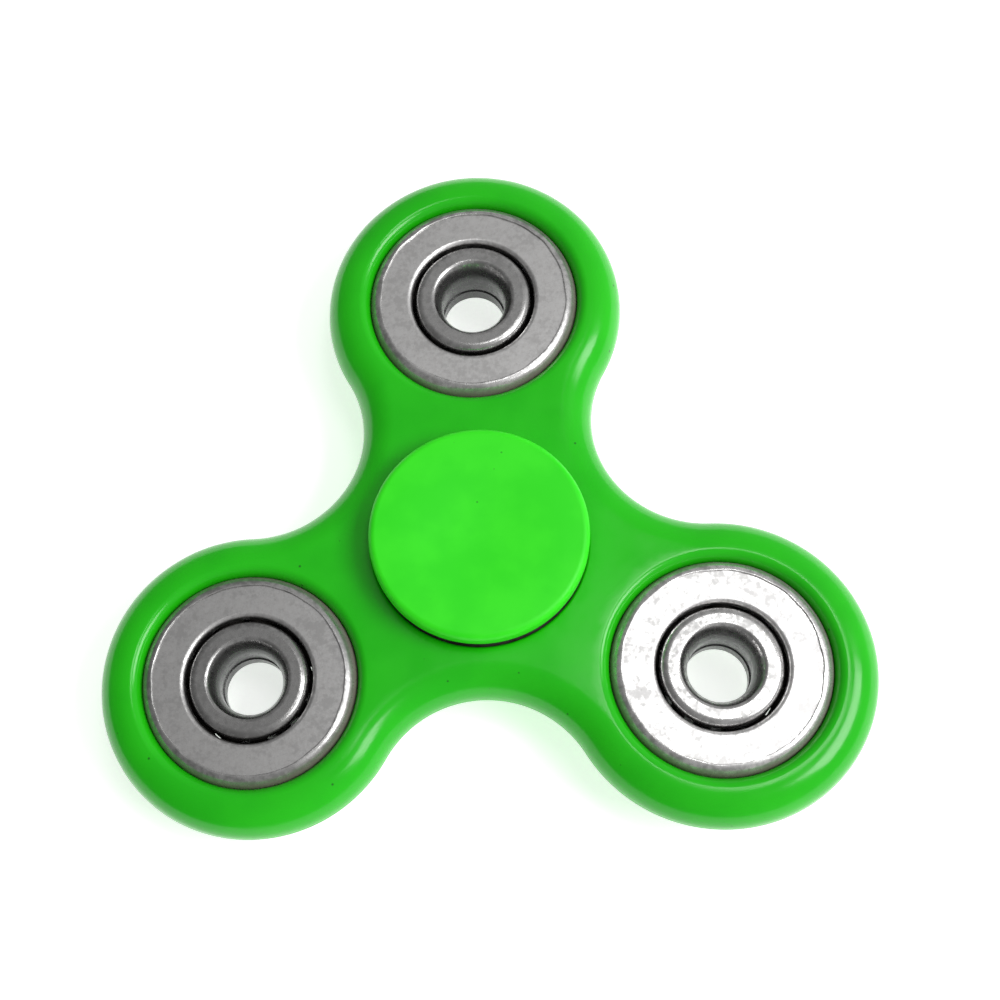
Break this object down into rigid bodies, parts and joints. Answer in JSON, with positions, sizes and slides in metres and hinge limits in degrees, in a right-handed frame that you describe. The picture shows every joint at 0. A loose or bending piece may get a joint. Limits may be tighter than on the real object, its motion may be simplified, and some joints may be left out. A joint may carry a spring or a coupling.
{
  "type": "fidget spinner",
  "caption": "Fidget spinner: a lobed moulded body turns on a centre bearing between finger caps, with a free-turning steel ball bearing pressed into each lobe.",
  "frame": {"origin": "on the spin axis, half way through the thickness of the body", "axes": "+Z along the spin axis towards the top cap, +Y from the spin axis towards lobe a"},
  "size_m": [0.0786, 0.0722, 0.0134],
  "materials": {
    "body_plastic": "glossy moulded ABS, bright green",
    "cap_plastic": "fine satin moulded ABS, bright green",
    "bearing_steel": "ground bearing steel",
    "ball_steel": "polished steel balls",
    "cage_steel": "pressed steel ribbon",
    "shield_steel": "pressed sheet steel",
    "shell_steel": "drawn steel, dull and mottled",
    "cover_steel": "stamped steel washer, dull and mottled",
    "ring_steel": "turned steel, lightly polished"
  },
  "bodies": {
    "hub": {"bottom_cap": "cap_plastic", "top_cap": "cap_plastic", "centre_inner_ring": "bearing_steel"},
    "spinner": {"body": "body_plastic", "centre_outer_ring": "bearing_steel", "centre_upper_shield": "shield_steel", "centre_lower_shield": "shield_steel", "lobe_a_shell": "shell_steel", "lobe_a_cover": "cover_steel", "lobe_a_race": "bearing_steel", "lobe_b_shell": "shell_steel", "lobe_b_cover": "cover_steel", "lobe_b_race": "bearing_steel", "lobe_c_shell": "shell_steel", "lobe_c_cover": "cover_steel", "lobe_c_race": "bearing_steel"},
    "centre_ball_cage": {"centre_balls": "ball_steel", "centre_upper_cage": "cage_steel", "centre_lower_cage": "cage_steel", "centre_cage_rivets": "cage_steel"},
    "lobe_a_ring": {"lobe_a_inner_ring": "ring_steel"},
    "lobe_a_ball_row": {"lobe_a_balls": "ball_steel"},
    "lobe_b_ring": {"lobe_b_inner_ring": "ring_steel"},
    "lobe_b_ball_row": {"lobe_b_balls": "ball_steel"},
    "lobe_c_ring": {"lobe_c_inner_ring": "ring_steel"},
    "lobe_c_ball_row": {"lobe_c_balls": "ball_steel"}
  },
  "joints": [
    {"name": "spinner_spin", "type": "hinge", "parent": "hub", "child": "spinner", "pos_m": [0, 0, 0], "axis": [0, 0, 1], "continuous": true},
    {"name": "centre_cage_turn", "type": "hinge", "parent": "hub", "child": "centre_ball_cage", "pos_m": [0, 0, 0], "axis": [0, 0, 1], "continuous": true},
    {"name": "lobe_a_ring_spin", "type": "hinge", "parent": "spinner", "child": "lobe_a_ring", "pos_m": [0, 0.02724, 0], "axis": [0, 0, 1], "continuous": true},
    {"name": "lobe_a_balls_turn", "type": "hinge", "parent": "spinner", "child": "lobe_a_ball_row", "pos_m": [0, 0.02724, 0], "axis": [0, 0, 1], "continuous": true},
    {"name": "lobe_b_ring_spin", "type": "hinge", "parent": "spinner", "child": "lobe_b_ring", "pos_m": [-0.02359, -0.01362, 0], "axis": [0, 0, 1], "continuous": true},
    {"name": "lobe_b_balls_turn", "type": "hinge", "parent": "spinner", "child": "lobe_b_ball_row", "pos_m": [-0.02359, -0.01362, 0], "axis": [0, 0, 1], "continuous": true},
    {"name": "lobe_c_ring_spin", "type": "hinge", "parent": "spinner", "child": "lobe_c_ring", "pos_m": [0.02359, -0.01362, 0], "axis": [0, 0, 1], "continuous": true},
    {"name": "lobe_c_balls_turn", "type": "hinge", "parent": "spinner", "child": "lobe_c_ball_row", "pos_m": [0.02359, -0.01362, 0], "axis": [0, 0, 1], "continuous": true}
  ],
  "couplings": [
    {"joint": "centre_cage_turn", "follows": "spinner_spin", "ratio": 0.6323},
    {"joint": "lobe_a_balls_turn", "follows": "lobe_a_ring_spin", "ratio": 0.38333},
    {"joint": "lobe_b_balls_turn", "follows": "lobe_b_ring_spin", "ratio": 0.38333},
    {"joint": "lobe_c_balls_turn", "follows": "lobe_c_ring_spin", "ratio": 0.38333}
  ]
}
